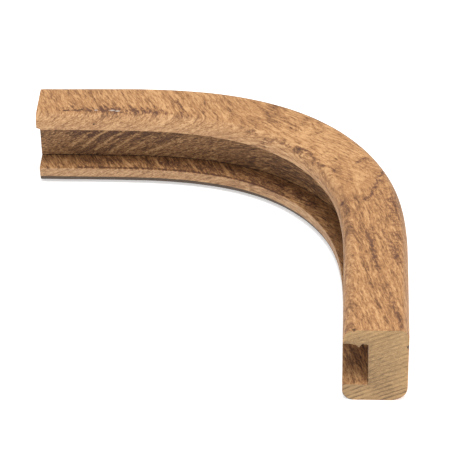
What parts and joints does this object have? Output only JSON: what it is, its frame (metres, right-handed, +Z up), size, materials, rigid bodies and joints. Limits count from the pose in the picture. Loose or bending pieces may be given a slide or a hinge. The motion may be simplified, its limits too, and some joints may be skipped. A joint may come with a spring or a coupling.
{
  "type": "corner moulding",
  "caption": "Solid wooden edge moulding that turns a right angle on a swept bend, with a square groove on its inner side for the edge of a board.",
  "frame": {"origin": "under the middle of the bounding box, on the underside that the moulding lies on", "axes": "+Z up from the underside, leg A runs along X to its end at -X, leg B runs along Y to its end at -Y, the groove opens to the inside of the corner"},
  "size_m": [0.1532, 0.1574, 0.0345],
  "materials": {
    "moulding_wood": "bare oiled hardwood, golden brown with dark pores, greyer end grain, darker in the groove"
  },
  "bodies": {
    "root": {"corner_moulding": "moulding_wood"}
  },
  "joints": []
}
